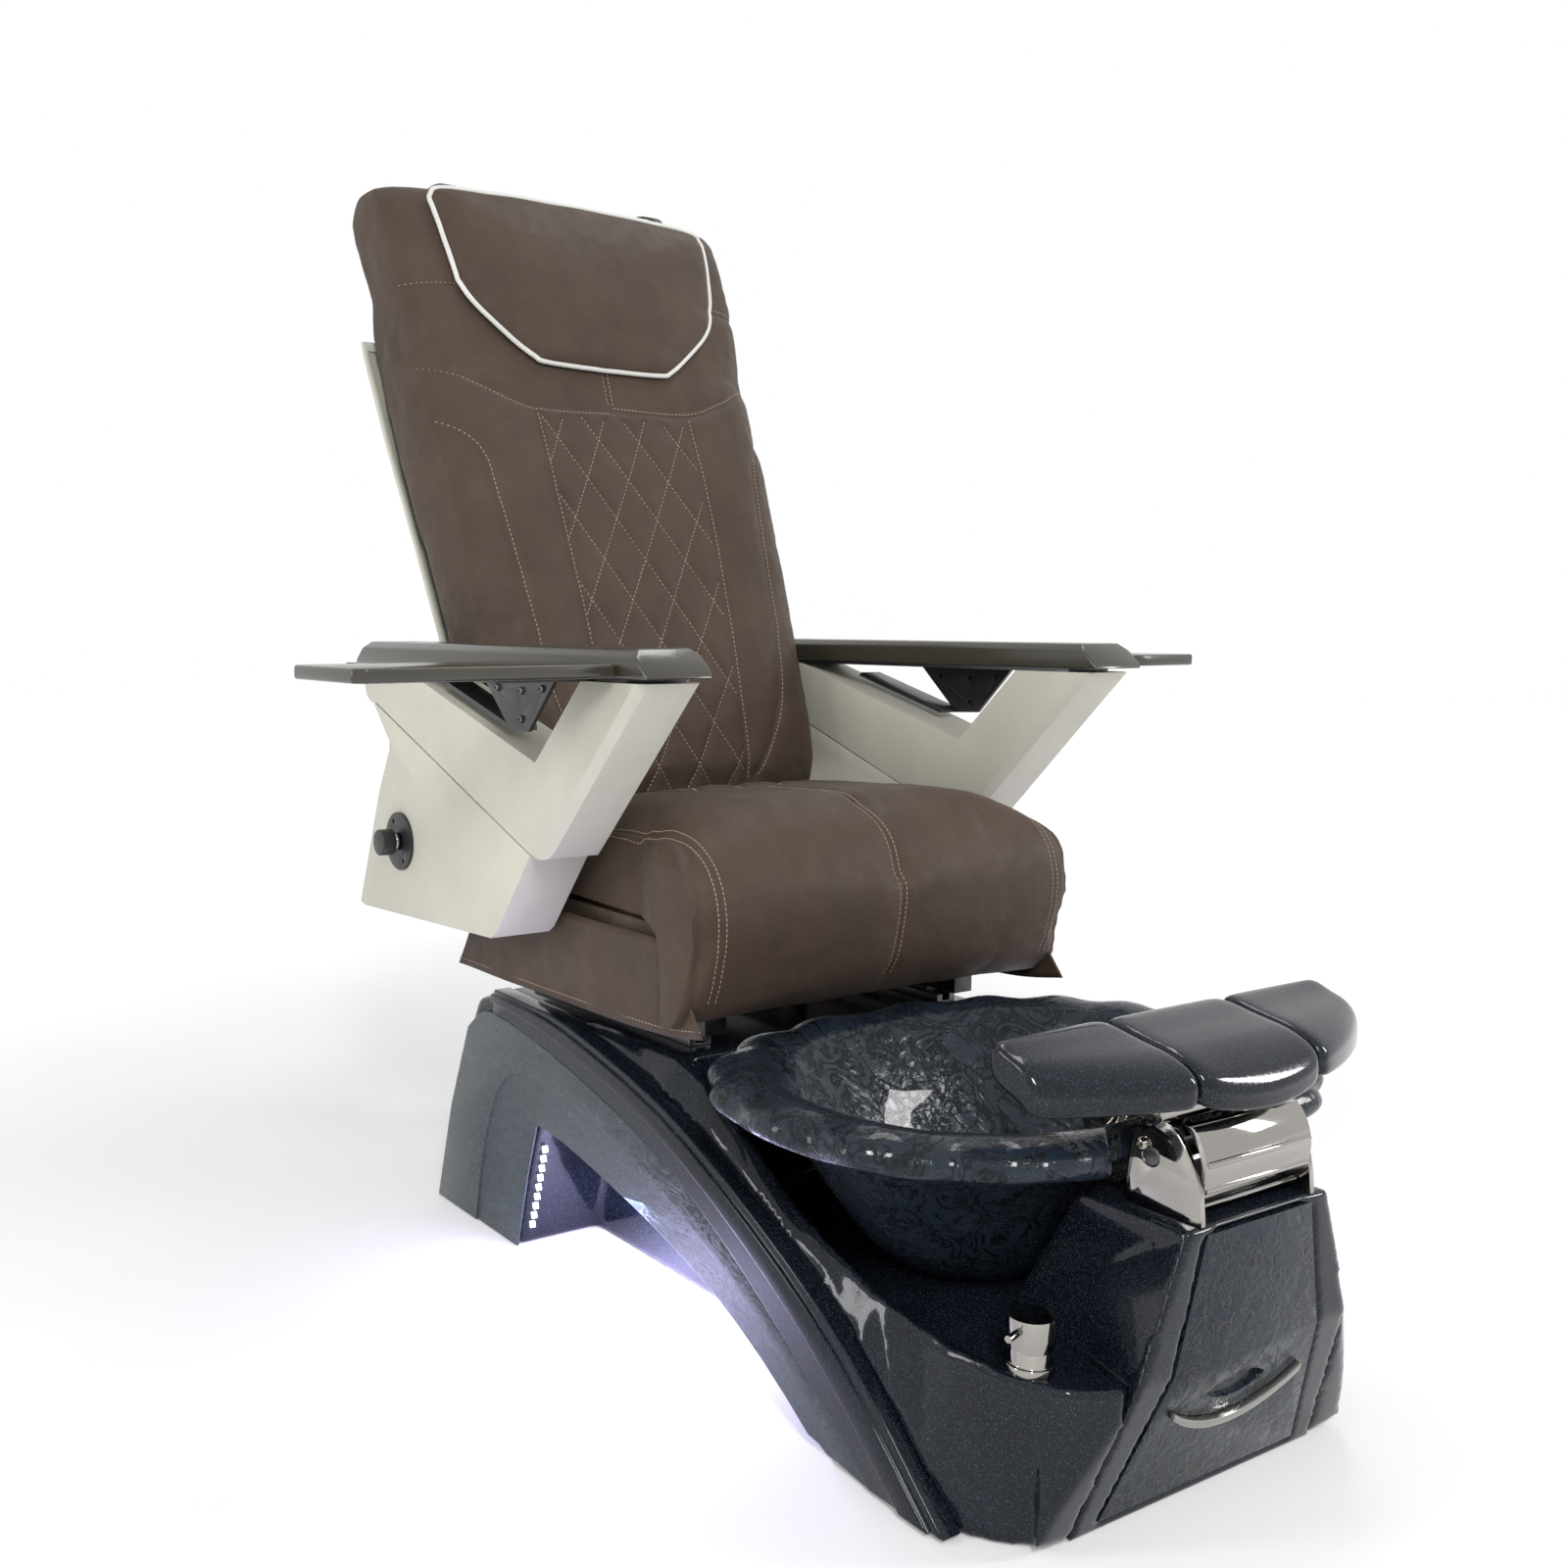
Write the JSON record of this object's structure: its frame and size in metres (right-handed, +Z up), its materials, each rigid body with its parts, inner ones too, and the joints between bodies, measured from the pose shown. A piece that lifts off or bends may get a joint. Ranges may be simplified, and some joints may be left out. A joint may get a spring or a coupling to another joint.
{
  "type": "pedicure spa chair",
  "caption": "Reclining pedicure chair with lifting V-shaped arms and swing trays, on a moulded base with a scalloped foot basin and tilting footrest.",
  "frame": {"origin": "On the floor plane under the middle of the chair, on the flat underside of the base.", "axes": "+Z up. The sitter faces -Y, so the footrest is at -Y and the backrest leans to +Y. +X is the sitter's left."},
  "size_m": [1.256, 1.3885, 1.508],
  "materials": {
    "gelcoat_dark": "gloss dark blue-black with fine metal flake",
    "gelcoat_textured": "gloss dark green-grey, brushed grain",
    "gelcoat_crackle": "gloss slate blue with a crackle relief",
    "cream_plastic": "matte, finely grained",
    "olive_gloss": "gloss",
    "leatherette": "soft sheen with a fine grain and tan stitching",
    "chrome": "mirror polish",
    "black_steel": "satin black powder coat",
    "grey_steel": "satin",
    "black_plastic": "satin black",
    "board": "dark stained board",
    "lamp_white": "lit diffuser"
  },
  "bodies": {
    "base": {"base_shell": "gelcoat_dark", "side_panel_left": "gelcoat_textured", "side_panel_right": "gelcoat_textured", "arch_trim_left": "gelcoat_dark", "arch_trim_right": "gelcoat_dark", "led_strips": "lamp_white", "basin": "gelcoat_crackle", "basin_drain": "chrome", "basin_jets": "chrome", "pedestal": "gelcoat_dark", "tap_base": "chrome", "side_stub": "black_plastic", "footrest_cheeks": "chrome", "footrest_drum": "chrome", "footrest_shaft": "grey_steel", "slide_rails": "grey_steel"},
    "footrest": {"footrest_arms": "chrome", "footrest_pad_left": "gelcoat_dark", "footrest_pad_middle": "gelcoat_dark", "footrest_pad_right": "gelcoat_dark"},
    "door": {"access_door": "gelcoat_crackle", "door_handle": "chrome"},
    "tap": {"tap_knob": "chrome"},
    "drain_control": {"drain_knob": "black_plastic"},
    "carriage": {"slide_shoes": "black_plastic", "seat_frame": "black_steel", "seat_pan": "board", "seat_cushion": "leatherette", "seat_skirt": "leatherette", "arm_shell_left": "cream_plastic", "arm_shell_right": "cream_plastic", "arm_pivots": "grey_steel", "release_plate_left": "black_plastic", "release_plate_right": "black_plastic", "recline_pivots": "grey_steel", "recline_motor": "black_plastic"},
    "arm_left": {"arm_v_left": "cream_plastic", "arm_frame_left": "black_steel", "arm_cap_left": "olive_gloss"},
    "arm_right": {"arm_v_right": "cream_plastic", "arm_frame_right": "black_steel", "arm_cap_right": "olive_gloss"},
    "tray_swing_left": {"tray_left": "olive_gloss"},
    "tray_swing_right": {"tray_right": "olive_gloss"},
    "release_left": {"release_knob_left": "black_plastic"},
    "release_right": {"release_knob_right": "black_plastic"},
    "back": {"back_frame": "grey_steel", "back_cushion": "leatherette", "back_shell": "cream_plastic", "head_pillow": "leatherette"},
    "massage": {"massage_carriage": "black_plastic", "massage_rollers": "leatherette"},
    "recline_actuator": {"recline_rod": "chrome"}
  },
  "joints": [
    {"name": "footrest_tilt", "type": "hinge", "parent": "base", "child": "footrest", "pos_m": [0, -0.628, 0.352], "axis": [1, 0, 0], "range_deg": [-20, 8]},
    {"name": "door_lift", "type": "hinge", "parent": "base", "child": "door", "pos_m": [0, -0.6835, 0.29], "axis": [-1, 0, 0], "range_deg": [0, 85]},
    {"name": "tap_turn", "type": "hinge", "parent": "base", "child": "tap", "pos_m": [-0.207, -0.597, 0.2], "axis": [0, 0, 1], "range_deg": [-90, 90]},
    {"name": "drain_turn", "type": "hinge", "parent": "base", "child": "drain_control", "pos_m": [0.15, -0.64, 0.206], "axis": [1, 0, 0], "range_deg": [0, 90]},
    {"name": "seat_slide", "type": "slide", "parent": "base", "child": "carriage", "axis": [0, 1, 0], "range_m": [0, 0.06]},
    {"name": "arm_lift_left", "type": "hinge", "parent": "carriage", "child": "arm_left", "pos_m": [0.34, 0.452, 0.766], "axis": [-1, 0, 0], "range_deg": [0, 55]},
    {"name": "arm_lift_right", "type": "hinge", "parent": "carriage", "child": "arm_right", "pos_m": [-0.34, 0.452, 0.766], "axis": [-1, 0, 0], "range_deg": [0, 55]},
    {"name": "tray_turn_left", "type": "hinge", "parent": "arm_left", "child": "tray_swing_left", "pos_m": [0.478, -0.09, 0.8], "axis": [0, 0, 1], "range_deg": [-90, 0]},
    {"name": "tray_turn_right", "type": "hinge", "parent": "arm_right", "child": "tray_swing_right", "pos_m": [-0.478, -0.09, 0.8], "axis": [0, 0, 1], "range_deg": [-90, 0]},
    {"name": "release_pull_left", "type": "slide", "parent": "carriage", "child": "release_left", "axis": [1, 0, 0], "range_m": [0, 0.008], "stiffness_N_per_m": 400},
    {"name": "release_pull_right", "type": "slide", "parent": "carriage", "child": "release_right", "axis": [-1, 0, 0], "range_m": [0, 0.008], "stiffness_N_per_m": 400},
    {"name": "back_recline", "type": "hinge", "parent": "carriage", "child": "back", "pos_m": [0, 0.276, 0.556], "axis": [-1, 0, 0], "range_deg": [0, 32]},
    {"name": "massage_travel", "type": "slide", "parent": "back", "child": "massage", "axis": [0, 0.342, 0.9397], "range_m": [0, 0.36]},
    {"name": "rod_extend", "type": "slide", "parent": "carriage", "child": "recline_actuator", "axis": [0, -1, 0], "range_m": [0, 0.086]}
  ],
  "couplings": [
    {"joint": "rod_extend", "follows": "back_recline", "m_per_rad": 0.15}
  ]
}
